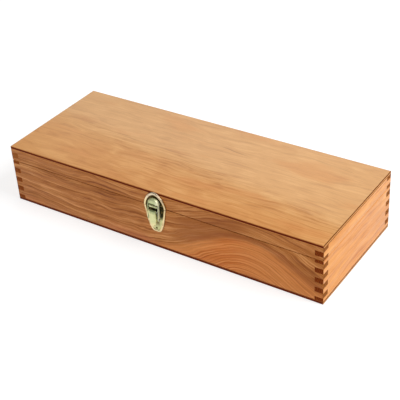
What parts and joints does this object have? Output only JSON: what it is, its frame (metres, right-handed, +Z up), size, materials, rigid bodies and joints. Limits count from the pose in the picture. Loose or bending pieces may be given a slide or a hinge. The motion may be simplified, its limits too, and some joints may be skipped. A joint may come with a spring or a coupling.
{
  "type": "hinged wooden box",
  "caption": "Long, shallow wooden box with finger-jointed corners, plywood top and bottom, a hinged lid and a small brass toggle latch on the front.",
  "frame": {"origin": "centre of the flat underside of the bottom panel, on the plane the box rests on", "axes": "+X along the length to the right as seen from the latch side, -Y towards the latch, +Z up through the lid"},
  "size_m": [0.334, 0.1386, 0.06],
  "materials": {
    "board_long": "satin varnish, reddish brown with a flame figure",
    "board_short": "satin varnish, light orange brown",
    "panel": "satin varnished plywood, pale orange tan, with dark edges",
    "brass": "plain brass",
    "latch_brass": "pale brass plate, lightly polished",
    "pin_steel": "plated steel wire"
  },
  "bodies": {
    "case": {"body_front_board": "board_long", "body_back_board": "board_long", "body_left_board": "board_short", "body_right_board": "board_short", "bottom_panel": "panel", "left_hinge_body_leaf": "brass", "left_hinge_pin": "pin_steel", "right_hinge_body_leaf": "brass", "right_hinge_pin": "pin_steel", "hinge_body_screws": "brass", "latch_base_plate": "latch_brass", "latch_base_nails": "latch_brass", "latch_lever_pin": "pin_steel"},
    "lid": {"lid_front_board": "board_long", "lid_back_board": "board_long", "lid_left_board": "board_short", "lid_right_board": "board_short", "top_panel": "panel", "left_hinge_lid_leaf": "brass", "right_hinge_lid_leaf": "brass", "hinge_lid_screws": "brass", "latch_strike_plate": "latch_brass", "latch_strike_nails": "latch_brass"},
    "lever": {"latch_lever": "latch_brass", "latch_link_pin": "pin_steel"},
    "link": {"latch_link": "latch_brass"}
  },
  "joints": [
    {"name": "lid_hinge", "type": "hinge", "parent": "case", "child": "lid", "pos_m": [0, 0.0663, 0.04475], "axis": [-1, 0, 0], "range_deg": [0, 180]},
    {"name": "lever_hinge", "type": "hinge", "parent": "case", "child": "lever", "pos_m": [0, -0.0677, 0.0418], "axis": [-1, 0, 0], "range_deg": [0, 95]},
    {"name": "link_hinge", "type": "hinge", "parent": "lever", "child": "link", "pos_m": [0, -0.0674, 0.034], "axis": [-1, 0, 0], "range_deg": [-109.25, 0]}
  ],
  "couplings": [
    {"joint": "link_hinge", "follows": "lever_hinge", "ratio": -1.15}
  ]
}
